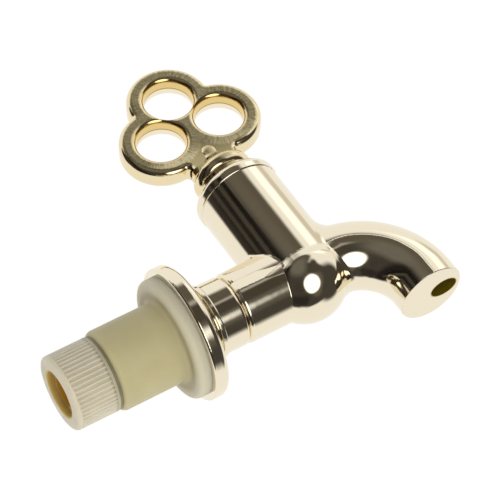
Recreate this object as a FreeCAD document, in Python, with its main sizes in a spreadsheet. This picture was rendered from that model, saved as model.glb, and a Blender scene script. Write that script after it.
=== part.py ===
import FreeCAD, Part
import os
import re
import Sketcher

# Plastic jar tap with a trefoil key, built as a parametric document, in millimetres.
# Origin: centre of the jar's hole, half way through the glass. +X points out of the jar towards
# the spout, +Z points up along the valve's axis, and the shank and its nut lie towards -X.

# Driving dimensions: alias, size, what it is
SIZES = [
    ("glass_half", 2.0, "half the glass the origin sits in: flange face to origin"),
    ("seal_radius", 8.75, "seal sleeve, fills a 17.5 mm hole"),
    ("seal_length", 14.8, "sleeve from its free end to the flange's face"),
    ("seal_end_round", 1.3, "round at the sleeve's free end"),
    ("seal_root_round", 1.0, "fillet between sleeve and flange"),
    ("seal_flange_radius", 13.1, "seal flange"),
    ("seal_flange_thick", 2.7, "seal flange"),
    ("seal_flange_round", 1.1, "front round of the seal flange"),
    ("sliding_gap", 0.1, "radial gap of the pieces that slide on the shank"),
    ("shank_radius", 4.95, "M10 shank over its thread"),
    ("shank_bore", 3.5, "waterway through the shank"),
    ("shank_inset", 1.2, "shank end behind the nut's face"),
    ("shank_chamfer", 0.5, "lead of the thread"),
    ("nut_length", 9.55, "clamp nut"),
    ("nut_root", 7.75, "clamp nut between its ribs"),
    ("nut_rib_height", 0.35, "ribs stand out by"),
    ("nut_rib_width", 0.62, "rib at its foot"),
    ("nut_rib_crest", 0.18, "rib at its crest"),
    ("nut_ribs", 50, "ribs round the nut"),
    ("nut_front_land", 1.0, "smooth land in front of the ribs"),
    ("nut_rear_land", 0.55, "smooth lip behind the ribs"),
    ("nut_front_round", 0.8, "front edge of the nut"),
    ("nut_mouth", 0.15, "chamfer at the nut's mouth"),
    ("thread_gap", 0.06, "radial play of nut and washer on the shank"),
    ("washer_thick", 0.6, "slip washer"),
    ("washer_radius", 8.0, "slip washer"),
    ("collar_rim_radius", 14.6, "flange collar rim"),
    ("collar_rim_thick", 3.5, "rim at its edge"),
    ("collar_rim_round", 1.5, "rear edge of the rim"),
    ("collar_front_round", 0.5, "front edge of the rim"),
    ("collar_rim_flat", 0.05, "flat ring between the rim's round and the cone"),
    ("collar_cone_length", 2.0, "cone from the rim to the collar's neck"),
    ("collar_cone_radius", 8.2, "small end of the cone"),
    ("collar_groove_width", 0.45, "groove behind the cone"),
    ("collar_groove_depth", 0.35, "groove below the neck"),
    ("collar_bead_width", 1.2, "bead behind the groove"),
    ("collar_bead_height", 0.4, "bead above the neck"),
    ("collar_bead_round", 0.36, "edges of the bead"),
    ("collar_neck_radius", 7.6, "neck of the collar"),
    ("collar_length", 12.5, "collar from face to rear edge"),
    ("collar_end_round", 0.9, "rear edge of the neck"),
    ("tube_radius", 7.75, "body tube behind the collar"),
    ("tube_length", 16.5, "collar's rear edge to the valve's axis"),
    ("tube_round", 0.9, "front edge of the tube"),
    ("housing_radius", 9.15, "upright valve housing"),
    ("housing_top", 23.9, "seam under the bonnet cap, above the inlet axis"),
    ("bulb_drop", 1.1, "centre of the round foot below the inlet axis"),
    ("spout_radius", 7.2, "spout"),
    ("bend_start", 6.3, "straight run of the spout from the valve's axis"),
    ("bend_radius", 14.2, "bend of the spout's centre line"),
    ("outlet_drop", 17.5, "outlet face below the inlet axis"),
    ("outlet_round", 0.4, "edge of the outlet face"),
    ("outlet_half_long", 3.0, "outlet hole, along the spout"),
    ("outlet_half_wide", 2.3, "outlet hole, across the spout"),
    ("outlet_shift", 3.0, "outlet hole in front of the spout's centre"),
    ("spout_fillet", 4.4, "fillet between housing and spout"),
    ("tube_fillet", 1.0, "fillet between housing and tube"),
    ("chamber_radius", 6.9, "valve chamber"),
    ("chamber_floor", 5.2, "chamber floor below the inlet axis"),
    ("fixed_gap", 0.05, "radial gap of pieces that are pushed in"),
    ("running_gap", 0.05, "radial gap of pieces that turn"),
    ("end_gap", 0.1, "axial gap of pieces that turn"),
    ("overcut", 1.0, "how far a cut runs past the face it opens"),
    ("port_radius", 3.0, "bore of the core and of its ports"),
    ("port_seal_width", 1.0, "port seal, radial"),
    ("port_seal_depth", 1.1, "port seal behind the chamber wall"),
    ("drum_top", 7.2, "top of the core above the inlet axis"),
    ("drum_cord", 0.7, "radius of the core's and bush's O-ring cord"),
    ("drum_ring_drop", 1.3, "core O-ring below the core's top"),
    ("stem_radius", 3.0, "stem"),
    ("stem_cord", 0.5, "radius of the stem's O-ring cord"),
    ("stem_ring_inset", 3.45, "stem O-rings from the ends of the bush"),
    ("square_side", 4.0, "square end of the stem"),
    ("square_length", 6.4, "square end of the stem"),
    ("square_gap", 0.05, "gap all round the square in the key"),
    ("thrust_thick", 0.8, "thrust washer"),
    ("bush_length", 11.5, "stem bush"),
    ("bonnet_overhang", 0.25, "bonnet cap beyond the housing"),
    ("bonnet_height", 3.1, "bonnet cap above the seam"),
    ("bonnet_round", 1.7, "shoulder of the bonnet cap"),
    ("bonnet_edge", 0.35, "lower edge of the bonnet cap"),
    ("key_gap", 0.3, "key above the bonnet cap"),
    ("neck_radius", 6.8, "bead of the neck disc, at its widest"),
    ("neck_height", 5.5, "neck disc of the key"),
    ("neck_bead", 2.0, "round of that bead"),
    ("neck_waist_drop", 1.6, "foot of the bead below its middle"),
    ("neck_ring_radius", 6.5, "plain ring under the bead"),
    ("neck_ring_slope", 0.35, "rise of the slope from the ring to the bead"),
    ("neck_foot_round", 0.3, "lower edge of the neck disc"),
    ("boss_radius", 2.9, "boss on the web"),
    ("boss_rise", 6.65, "top of the boss above the neck disc"),
    ("boss_cone", 2.4, "cone between neck disc and boss"),
    ("boss_foot_round", 1.6, "bend from the cone to the boss"),
    ("boss_dome", 2.8, "round top of the boss"),
    ("cone_foot", 4.3, "radius of that cone on the neck disc"),
    ("neck_crown", 0.2, "rise of the neck disc to the cone"),
    ("web_half", 5.6, "half width of the web between rings and neck disc"),
    ("notch_round", 0.8, "corners where the lower rings leave the web"),
    ("ring_hole", 5.2, "hole of each key ring, at the mould's parting line"),
    ("hole_draft", 0.15, "widening of each hole from that line to its rounded edges"),
    ("ring_outer", 9.05, "outer radius of each key ring"),
    ("ring_half_pitch", 7.15, "lower rings from the valve's axis"),
    ("lower_ring_rise", 17.15, "lower ring centres above the bonnet cap"),
    ("upper_ring_rise", 26.35, "upper ring centre above the bonnet cap"),
    ("key_thick", 5.04, "thickness of the key"),
    ("hole_round", 1.1, "edge of each hole"),
    ("rim_round", 1.3, "outer edge of the key"),
    ("crotch_round", 0.6, "inner corners of the key's outline"),
]

# Places, each worked out from the driving dimensions
FLANGE_FACE = "glass_half"
SEAL_FRONT = "(glass_half - seal_length)"
NUT_REAR = "(glass_half - seal_length - washer_thick)"
NUT_FACE = "(glass_half - seal_length - washer_thick - nut_length)"
SHANK_END = "(glass_half - seal_length - washer_thick - nut_length + shank_inset)"
COLLAR_FACE = "(glass_half + seal_flange_thick)"
COLLAR_REAR = "(glass_half + seal_flange_thick + collar_length)"
VALVE_X = "(glass_half + seal_flange_thick + collar_length + tube_length)"
DRUM_RADIUS = "(chamber_radius - running_gap)"
THRUST_FOOT = "(drum_top + end_gap)"
BUSH_FOOT = "(drum_top + end_gap + thrust_thick)"
BUSH_TOP = "(drum_top + end_gap + thrust_thick + bush_length)"
BONNET_RADIUS = "(housing_radius + bonnet_overhang)"
BONNET_TOP = "(housing_top + bonnet_height)"
KEY_FOOT = "(housing_top + bonnet_height + key_gap)"
NECK_TOP = "(housing_top + bonnet_height + key_gap + neck_height)"
STEM_RINGS = ["(drum_top + end_gap + thrust_thick + stem_ring_inset)",
              "(drum_top + end_gap + thrust_thick + bush_length - stem_ring_inset)"]
BUSH_RING = "(drum_top + end_gap + thrust_thick + bush_length / 2)"

TOUCH = 1e-4
NODES = []

doc = FreeCAD.newDocument("jar_tap")
sheet = doc.addObject("Spreadsheet::Sheet", "Sizes")
for row, (alias, size, meaning) in enumerate(SIZES, 1):
    sheet.set("A%d" % row, meaning)
    sheet.set("B%d" % row, str(size))
    sheet.setAlias("B%d" % row, alias)
doc.recompute()
ALIASES = {alias for alias, size, meaning in SIZES}


def bound(formula):
    """A formula of aliases, written for another object of the document."""
    add_sheet = lambda word: "Sizes." + word.group() if word.group() in ALIASES else word.group()
    return re.sub(r"[a-z_]+", add_sheet, str(formula))


def measure(formula):
    """The present value of a formula of aliases."""
    return float(sheet.evalExpression(str(formula)))


def new_body(name):
    body = doc.addObject("PartDesign::Body", name)
    body.Label = name
    return body


def plane_of(body, role):
    return next(item for item in body.Origin.OriginFeatures if item.Role == role)


def sketch_on(body, name, role="XZ_Plane", shift_x="0", shift_z="0"):
    """A sketch on one of the body's own planes, moved by shift_x along it and shift_z off it."""
    sketch = body.newObject("Sketcher::SketchObject", name)
    sketch.AttachmentSupport = [(plane_of(body, role), "")]
    sketch.MapMode = "FlatFace"
    if shift_x != "0":
        sketch.setExpression("AttachmentOffset.Base.x", bound(shift_x))
    if shift_z != "0":
        sketch.setExpression("AttachmentOffset.Base.z", bound(shift_z))
    return sketch


def pin_point(sketch, geometry, end, across, up):
    """Hold one point of the sketch at two formulas, measured from the sketch's origin."""
    for kind, axis_line, formula in (("DistanceX", -2, across), ("DistanceY", -1, up)):
        if formula is None:
            continue
        if formula == "0":
            sketch.addConstraint(Sketcher.Constraint("PointOnObject", geometry, end, axis_line))
            continue
        distance = Sketcher.Constraint(kind, -1, 1, geometry, end, measure(formula))
        number = sketch.addConstraint(distance)
        sketch.setExpression("Constraints[%d]" % number, bound(formula))


def outline(sketch, points):
    """A closed outline. Each point is (across, up), or (across, up, centre across, centre up)
    where a round stretch about that centre leads to the next point."""
    corners = [FreeCAD.Vector(measure(point[0]), measure(point[1]), 0) for point in points]
    runs = []
    for point, start, end in zip(points, corners, corners[1:] + corners[:1]):
        if len(point) == 2:
            runs.append((sketch.addGeometry(Part.LineSegment(start, end), False), 1, 2))
            continue
        centre = FreeCAD.Vector(measure(point[2]), measure(point[3]), 0)
        from_centre, to_end = start - centre, end - centre
        circle = Part.Circle(centre, FreeCAD.Vector(0, 0, 1), from_centre.Length)
        first, last = circle.parameter(start), circle.parameter(end)
        if from_centre.cross(to_end).z > 0:
            arc, ends = Part.ArcOfCircle(circle, first, last), (1, 2)
        else:
            arc, ends = Part.ArcOfCircle(circle, last, first), (2, 1)
        runs.append((sketch.addGeometry(arc, False),) + ends)
    for (run, _, end), (following, start, _) in zip(runs, runs[1:] + runs[:1]):
        sketch.addConstraint(Sketcher.Constraint("Coincident", run, end, following, start))
    for (run, start, _), point in zip(runs, points):
        pin_point(sketch, run, start, point[0], point[1])
        if len(point) == 4:
            pin_point(sketch, run, 3, point[2], None)
    doc.recompute()
    return sketch


def disc(sketch, across, up, radius):
    """A circle, its centre and radius held by formulas."""
    centre = FreeCAD.Vector(measure(across), measure(up), 0)
    circle = Part.Circle(centre, FreeCAD.Vector(0, 0, 1), measure(radius))
    number = sketch.addGeometry(circle, False)
    pin_point(sketch, number, 3, across, up)
    held = sketch.addConstraint(Sketcher.Constraint("Radius", number, measure(radius)))
    sketch.setExpression("Constraints[%d]" % held, bound(radius))
    return sketch


def turned(body, name, sketch, axis, kind="PartDesign::Revolution"):
    """A full turn of a sketch about its own horizontal or vertical axis."""
    feature = body.newObject(kind, name)
    feature.Profile = sketch
    feature.ReferenceAxis = (sketch, [axis])
    feature.Angle = 360
    doc.recompute()
    return feature


def grooved(body, name, sketch, axis):
    return turned(body, name, sketch, axis, "PartDesign::Groove")


def padded(body, name, sketch, length, centred=False, backwards=False):
    feature = body.newObject("PartDesign::Pad", name)
    feature.Profile = sketch
    feature.setExpression("Length", bound(length))
    feature.Midplane = centred
    feature.Reversed = backwards
    doc.recompute()
    return feature


def drilled_through(body, name, sketch):
    """A pocket through everything on both sides of its sketch."""
    feature = body.newObject("PartDesign::Pocket", name)
    feature.Profile = sketch
    feature.Type = "ThroughAll"
    feature.Midplane = True
    doc.recompute()
    return feature


def kind_of(edge):
    """The kind of an edge's curve; a sphere's pole is an edge with none."""
    return "" if edge.Degenerated else edge.Curve.TypeId


def rings_at(shape, axis, along, radius):
    """Names of the circular edges about a line parallel to an axis (0 = X, 1 = Y, 2 = Z)."""
    names = []
    for number, edge in enumerate(shape.Edges, 1):
        if kind_of(edge) != "Part::GeomCircle":
            continue
        near = abs(edge.Curve.Center[axis] - measure(along)) < TOUCH
        if near and abs(edge.Curve.Radius - measure(radius)) < TOUCH:
            names.append("Edge%d" % number)
    return names


def dressed(body, name, kind, size_name, size, edges):
    """A fillet or a chamfer on named edges of the body's last feature."""
    before = body.Tip
    feature = body.newObject(kind, name)
    feature.Base = (before, edges)
    feature.setExpression(size_name, bound(size))
    doc.recompute()
    return feature


def rounded(body, name, size, axis, along, radius):
    edges = rings_at(body.Shape, axis, along, radius)
    return dressed(body, name, "PartDesign::Fillet", "Radius", size, edges)


def chamfered(body, name, size, axis, along, radius):
    edges = rings_at(body.Shape, axis, along, radius)
    return dressed(body, name, "PartDesign::Chamfer", "Size", size, edges)


def node(piece):
    """Keep a finished piece for the export."""
    NODES.append(piece)
    return piece


def on_valve_axis(piece, rise="0"):
    """Stand a piece that was drawn about Z on the valve's axis."""
    piece.setExpression("Placement.Base.x", bound(VALVE_X))
    if rise != "0":
        piece.setExpression("Placement.Base.z", bound(rise))
    return piece


def make_tap_body():
    """One moulding: threaded shank, tube, valve housing with its bulb, and the spout."""
    body = new_body("tap_body")
    line = sketch_on(body, "shank_and_tube_outline")
    outline(line, [(SHANK_END, "0"), (SHANK_END, "shank_radius"), (COLLAR_REAR, "shank_radius"),
                   (COLLAR_REAR, "tube_radius"), (VALVE_X, "tube_radius"), (VALVE_X, "0")])
    turned(body, "shank_and_tube", line, "H_Axis")
    rounded(body, "tube_front_round", "tube_round", 0, COLLAR_REAR, "tube_radius")
    chamfered(body, "thread_lead", "shank_chamfer", 0, SHANK_END, "shank_radius")

    line = sketch_on(body, "housing_outline", shift_x=VALVE_X)
    top_corner = FreeCAD.Vector(measure("housing_radius"), measure("housing_top"), 0)
    foot_corner = FreeCAD.Vector(measure("housing_radius"), -measure("bulb_drop"), 0)
    axis_top = FreeCAD.Vector(0, top_corner.y, 0)
    bulb_centre = FreeCAD.Vector(0, foot_corner.y, 0)
    axis_foot = FreeCAD.Vector(0, foot_corner.y - measure("housing_radius"), 0)
    lid = line.addGeometry(Part.LineSegment(axis_top, top_corner), False)
    wall = line.addGeometry(Part.LineSegment(top_corner, foot_corner), False)
    quarter = Part.ArcOfCircle(Part.Circle(bulb_centre, FreeCAD.Vector(0, 0, 1),
                                           measure("housing_radius")), -1.5707963, 0)
    bulb = line.addGeometry(quarter, False)
    axis_run = line.addGeometry(Part.LineSegment(axis_foot, axis_top), False)
    for first, end, second, start in ((lid, 2, wall, 1), (wall, 2, bulb, 2),
                                      (bulb, 1, axis_run, 1), (axis_run, 2, lid, 1)):
        line.addConstraint(Sketcher.Constraint("Coincident", first, end, second, start))
    pin_point(line, lid, 1, "0", "housing_top")
    pin_point(line, wall, 1, "housing_radius", "housing_top")
    pin_point(line, wall, 2, "housing_radius", "-bulb_drop")
    pin_point(line, bulb, 3, "0", "-bulb_drop")
    line.addConstraint(Sketcher.Constraint("PointOnObject", axis_run, 1, -2))
    doc.recompute()
    turned(body, "housing_and_bulb", line, "V_Axis")
    tube_joint = joint_edges(body.Shape, "tube_radius", -1)
    if tube_joint:
        dressed(body, "tube_to_housing", "PartDesign::Fillet", "Radius", "tube_fillet", tube_joint)

    swept(body, "spout", "spout_radius", "spout_radius", "bend_radius", "outlet_drop",
          "PartDesign::AdditivePipe")
    rounded(body, "outlet_edge", "outlet_round", 2, "-outlet_drop", "spout_radius")
    spout_joint = joint_edges(body.Shape, "spout_radius", 1)
    dressed(body, "spout_to_housing", "PartDesign::Fillet", "Radius", "spout_fillet", spout_joint)

    line = sketch_on(body, "waterway_outline")
    outline(line, [(SHANK_END + " - overcut", "0"), (SHANK_END + " - overcut", "shank_bore"),
                   (COLLAR_REAR, "shank_bore"), (COLLAR_REAR, "port_radius"),
                   (VALVE_X, "port_radius"), (VALVE_X, "0")])
    grooved(body, "waterway", line, "H_Axis")
    line = sketch_on(body, "port_seats_outline", shift_x=VALVE_X)
    seat_end = "(chamber_radius + port_seal_depth)"
    seat_radius = "(port_radius + port_seal_width + fixed_gap)"
    outline(line, [("-" + seat_end, "0"), ("-" + seat_end, seat_radius),
                   (seat_end, seat_radius), (seat_end, "0")])
    grooved(body, "port_seats", line, "H_Axis")
    line = sketch_on(body, "chamber_outline", shift_x=VALVE_X)
    outline(line, [("0", "-chamber_floor"), ("chamber_radius", "-chamber_floor"),
                   ("chamber_radius", "housing_top + overcut"), ("0", "housing_top + overcut")])
    grooved(body, "chamber", line, "V_Axis")
    swept(body, "outlet_passage", "outlet_half_wide", "outlet_half_long",
          "(bend_radius + outlet_shift)", "(outlet_drop + overcut)", "PartDesign::SubtractivePipe")
    return node(body)


def swept(body, name, half_wide, half_high, bend, drop, kind):
    """A round or oval section swept along a straight run, a quarter bend and a short drop."""
    path = sketch_on(body, name + "_path", shift_x=VALVE_X)
    start = FreeCAD.Vector(0, 0, 0)
    bend_in = FreeCAD.Vector(measure("bend_start"), 0, 0)
    centre = FreeCAD.Vector(bend_in.x, -measure(bend), 0)
    bend_out = FreeCAD.Vector(bend_in.x + measure(bend), centre.y, 0)
    foot = FreeCAD.Vector(bend_out.x, -measure(drop), 0)
    run = path.addGeometry(Part.LineSegment(start, bend_in), False)
    circle = Part.Circle(centre, FreeCAD.Vector(0, 0, 1), measure(bend))
    arc = path.addGeometry(Part.ArcOfCircle(circle, 0, 1.5707963), False)
    fall = path.addGeometry(Part.LineSegment(bend_out, foot), False)
    path.addConstraint(Sketcher.Constraint("Coincident", run, 2, arc, 2))
    path.addConstraint(Sketcher.Constraint("Coincident", arc, 1, fall, 1))
    pin_point(path, run, 1, "0", "0")
    pin_point(path, run, 2, "bend_start", "0")
    pin_point(path, arc, 3, "bend_start", None)
    pin_point(path, fall, 1, "bend_start + " + bend, "-" + bend)
    pin_point(path, fall, 2, "bend_start + " + bend, "-" + drop)
    section = sketch_on(body, name + "_section", "YZ_Plane", shift_z=VALVE_X)
    if half_wide == half_high:
        disc(section, "0", "0", half_wide)
    else:
        oval = Part.Ellipse(FreeCAD.Vector(0, measure(half_high), 0),
                            FreeCAD.Vector(measure(half_wide), 0, 0), FreeCAD.Vector(0, 0, 0))
        number = section.addGeometry(oval, False)
        section.exposeInternalGeometry(number)
        long_axis, short_axis = section.Geometry[number + 1], section.Geometry[number + 2]
        pin_point(section, number, 3, "0", "0")
        pin_point(section, number + 1, 1 if long_axis.StartPoint.y > 0 else 2, "0", half_high)
        pin_point(section, number + 2, 1 if short_axis.StartPoint.x > 0 else 2, half_wide, None)
    doc.recompute()
    pipe = body.newObject(kind, name)
    pipe.Profile = section
    pipe.Spine = (path, [])
    doc.recompute()
    return pipe


def joint_edges(shape, radius, side):
    """Edges where a horizontal pipe of that radius meets the housing, on one side of the axis."""
    names = []
    limit = measure(radius) + TOUCH
    for number, edge in enumerate(shape.Edges, 1):
        if kind_of(edge) in ("", "Part::GeomCircle", "Part::GeomLine"):
            continue
        points = edge.discretize(9)
        away = [side * (point.x - measure(VALVE_X)) for point in points]
        inside = [point.y ** 2 + point.z ** 2 < limit ** 2 for point in points]
        if min(away) > 0 and max(away) < measure("housing_radius") + TOUCH and all(inside):
            names.append("Edge%d" % number)
    return names


def make_jar_seal():
    """Silicone sleeve that fills the jar's hole, with the flange that seals on the glass."""
    body = new_body("jar_seal")
    bore = "(shank_radius + sliding_gap)"
    line = sketch_on(body, "seal_outline")
    outline(line, [(SEAL_FRONT, bore), (SEAL_FRONT, "seal_radius"), (FLANGE_FACE, "seal_radius"),
                   (FLANGE_FACE, "seal_flange_radius"), (COLLAR_FACE, "seal_flange_radius"),
                   (COLLAR_FACE, bore)])
    turned(body, "seal_turned", line, "H_Axis")
    rounded(body, "sleeve_end_round", "seal_end_round", 0, SEAL_FRONT, "seal_radius")
    rounded(body, "flange_round", "seal_flange_round", 0, FLANGE_FACE, "seal_flange_radius")
    rounded(body, "sleeve_root_round", "seal_root_round", 0, FLANGE_FACE, "seal_radius")
    return node(body)


def make_flange_collar():
    """Plated ring with a round rim, a cone, a groove with its bead, and a plain neck."""
    body = new_body("flange_collar")
    bore = "(shank_radius + sliding_gap)"
    rim_rear = "(" + COLLAR_FACE + " + collar_rim_thick)"
    cone_end = "(" + rim_rear + " + collar_cone_length)"
    bead_start = "(" + cone_end + " + collar_groove_width)"
    bead_end = "(" + bead_start + " + collar_bead_width)"
    groove_radius = "(collar_neck_radius - collar_groove_depth)"
    bead_radius = "(collar_neck_radius + collar_bead_height)"
    line = sketch_on(body, "collar_outline")
    outline(line, [(COLLAR_FACE, bore), (COLLAR_FACE, "collar_rim_radius"),
                   (rim_rear, "collar_rim_radius"),
                   (rim_rear, "collar_rim_radius - collar_rim_round - collar_rim_flat"),
                   (cone_end, "collar_cone_radius"), (cone_end, groove_radius),
                   (bead_start, groove_radius), (bead_start, bead_radius),
                   (bead_end, bead_radius), (bead_end, "collar_neck_radius"),
                   (COLLAR_REAR, "collar_neck_radius"), (COLLAR_REAR, bore)])
    turned(body, "collar_turned", line, "H_Axis")
    rounded(body, "rim_rear_round", "collar_rim_round", 0, rim_rear, "collar_rim_radius")
    rounded(body, "rim_front_round", "collar_front_round", 0, COLLAR_FACE, "collar_rim_radius")
    bead = rings_at(body.Shape, 0, bead_start, bead_radius)
    bead += rings_at(body.Shape, 0, bead_end, bead_radius)
    dressed(body, "bead_round", "PartDesign::Fillet", "Radius", "collar_bead_round", bead)
    rounded(body, "neck_rear_round", "collar_end_round", 0, COLLAR_REAR, "collar_neck_radius")
    return node(body)


def make_slip_washer():
    """Thin washer that lets the nut turn without twisting the sleeve."""
    body = new_body("slip_washer")
    bore = "(shank_radius + thread_gap)"
    line = sketch_on(body, "washer_outline")
    outline(line, [(NUT_REAR, bore), (NUT_REAR, "washer_radius"),
                   (SEAL_FRONT, "washer_radius"), (SEAL_FRONT, bore)])
    turned(body, "washer_turned", line, "H_Axis")
    return node(body)


def make_clamp_nut():
    """Round nut with fine ribs between two smooth lands."""
    body = new_body("clamp_nut")
    bore = "(shank_radius + thread_gap)"
    crest = "(nut_root + nut_rib_height)"
    rib_start = "(" + NUT_FACE + " + nut_front_land)"
    rib_end = "(" + NUT_REAR + " - nut_rear_land)"
    line = sketch_on(body, "nut_outline")
    outline(line, [(NUT_FACE, bore), (NUT_FACE, crest), (rib_start, crest),
                   (rib_start, "nut_root"), (rib_end, "nut_root"), (rib_end, crest),
                   (NUT_REAR, crest), (NUT_REAR, bore)])
    turned(body, "nut_turned", line, "H_Axis")
    rounded(body, "nut_front_edge", "nut_front_round", 0, NUT_FACE, crest)
    chamfered(body, "nut_mouth_lead", "nut_mouth", 0, NUT_FACE, bore)
    section = sketch_on(body, "rib_section", "YZ_Plane", shift_z=rib_start)
    rib_foot = "(nut_root - nut_rib_height)"
    outline(section, [("-nut_rib_width / 2", rib_foot), ("nut_rib_width / 2", rib_foot),
                      ("nut_rib_width / 2", "nut_root"), ("nut_rib_crest / 2", crest),
                      ("-nut_rib_crest / 2", crest), ("-nut_rib_width / 2", "nut_root")])
    rib = padded(body, "rib", section, "nut_length - nut_front_land - nut_rear_land")
    pattern = body.newObject("PartDesign::PolarPattern", "ribs_round_the_nut")
    pattern.Originals = [rib]
    pattern.Axis = (line, ["H_Axis"])
    pattern.Angle = 360
    pattern.setExpression("Occurrences", bound("nut_ribs"))
    body.Tip = pattern
    doc.recompute()
    return node(body)


def make_valve_plug():
    """Core with its cross bore, and the stem with its square end."""
    body = new_body("valve_plug")
    drum_foot = "(end_gap - chamber_floor)"
    ring_middle = "(drum_top - drum_ring_drop)"
    ring_floor = "(" + DRUM_RADIUS + " - 2 * drum_cord - fixed_gap)"
    stem_floor = "(stem_radius - 2 * stem_cord - fixed_gap)"
    points = [("0", drum_foot), (DRUM_RADIUS, drum_foot)]
    points += groove_corners(ring_middle, DRUM_RADIUS, ring_floor, "drum_cord")
    points += [(DRUM_RADIUS, "drum_top"), ("stem_radius", "drum_top")]
    for place in STEM_RINGS:
        points += groove_corners(place, "stem_radius", stem_floor, "stem_cord")
    points += [("stem_radius", KEY_FOOT), ("0", KEY_FOOT)]
    line = sketch_on(body, "plug_outline")
    outline(line, points)
    turned(body, "plug_turned", line, "V_Axis")
    section = sketch_on(body, "square_section", "XY_Plane", shift_z=KEY_FOOT)
    outline(section, [("-square_side / 2", "-square_side / 2"),
                      ("square_side / 2", "-square_side / 2"),
                      ("square_side / 2", "square_side / 2"),
                      ("-square_side / 2", "square_side / 2")])
    padded(body, "square_end", section, "square_length - end_gap")
    hole = disc(sketch_on(body, "cross_bore_section", "YZ_Plane"), "0", "0", "port_radius")
    doc.recompute()
    drilled_through(body, "cross_bore", hole)
    return node(on_valve_axis(body))


def groove_corners(middle, radius, floor, cord):
    """Four corners of an O-ring groove in the outline of a shaft, from below to above."""
    low = "(" + middle + " - " + cord + " - fixed_gap)"
    high = "(" + middle + " + " + cord + " + fixed_gap)"
    return [(radius, low), (floor, low), (floor, high), (radius, high)]


def make_ring(name, radius, cord, rise):
    """An O-ring about the valve's axis."""
    ring = doc.addObject("Part::Torus", name)
    ring.Label = name
    ring.setExpression("Radius1", bound(radius + " - " + cord))
    ring.setExpression("Radius2", bound(cord))
    return node(on_valve_axis(ring, rise))


def make_port_seal(name, side):
    """Ring in the seat of one port, hollowed to the core's round side."""
    body = new_body(name)
    inner = "(chamber_radius - overcut)"
    outer = "(chamber_radius + port_seal_depth - fixed_gap)"
    ends = (inner, outer) if side > 0 else ("-" + outer, "-" + inner)
    line = sketch_on(body, name + "_outline")
    outline(line, [(ends[0], "port_radius"), (ends[0], "port_radius + port_seal_width"),
                   (ends[1], "port_radius + port_seal_width"), (ends[1], "port_radius")])
    turned(body, name + "_turned", line, "H_Axis")
    round_side = disc(sketch_on(body, name + "_face", "XY_Plane"), "0", "0", "chamber_radius")
    doc.recompute()
    drilled_through(body, name + "_hollow", round_side)
    return node(on_valve_axis(body))


def make_thrust_washer():
    """Slippery washer on top of the core."""
    body = new_body("thrust_washer")
    line = sketch_on(body, "thrust_outline")
    bore = "(stem_radius + running_gap)"
    rim = "(chamber_radius - fixed_gap)"
    outline(line, [(bore, THRUST_FOOT), (rim, THRUST_FOOT), (rim, BUSH_FOOT), (bore, BUSH_FOOT)])
    turned(body, "thrust_turned", line, "V_Axis")
    return node(on_valve_axis(body))


def make_stem_bush():
    """Bush that guides the stem and keeps the core down."""
    body = new_body("stem_bush")
    bore = "(stem_radius + running_gap)"
    rim = "(chamber_radius - fixed_gap)"
    ring_floor = "(chamber_radius - 2 * fixed_gap - 2 * drum_cord)"
    points = [(bore, BUSH_FOOT), (rim, BUSH_FOOT)]
    points += groove_corners(BUSH_RING, rim, ring_floor, "drum_cord")
    points += [(rim, BUSH_TOP), (bore, BUSH_TOP)]
    line = sketch_on(body, "bush_outline")
    outline(line, points)
    turned(body, "bush_turned", line, "V_Axis")
    return node(on_valve_axis(body))


def make_bonnet_cap():
    """Plated cap on the housing, with a spigot that holds the bush down."""
    body = new_body("bonnet_cap")
    bore = "(stem_radius + running_gap)"
    spigot = "(chamber_radius - fixed_gap)"
    line = sketch_on(body, "bonnet_outline")
    outline(line, [(bore, BUSH_TOP), (spigot, BUSH_TOP), (spigot, "housing_top"),
                   (BONNET_RADIUS, "housing_top"), (BONNET_RADIUS, BONNET_TOP),
                   (bore, BONNET_TOP)])
    turned(body, "bonnet_turned", line, "V_Axis")
    rounded(body, "bonnet_shoulder", "bonnet_round", 2, BONNET_TOP, BONNET_RADIUS)
    rounded(body, "bonnet_lower_edge", "bonnet_edge", 2, "housing_top", BONNET_RADIUS)
    return node(on_valve_axis(body))


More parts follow.
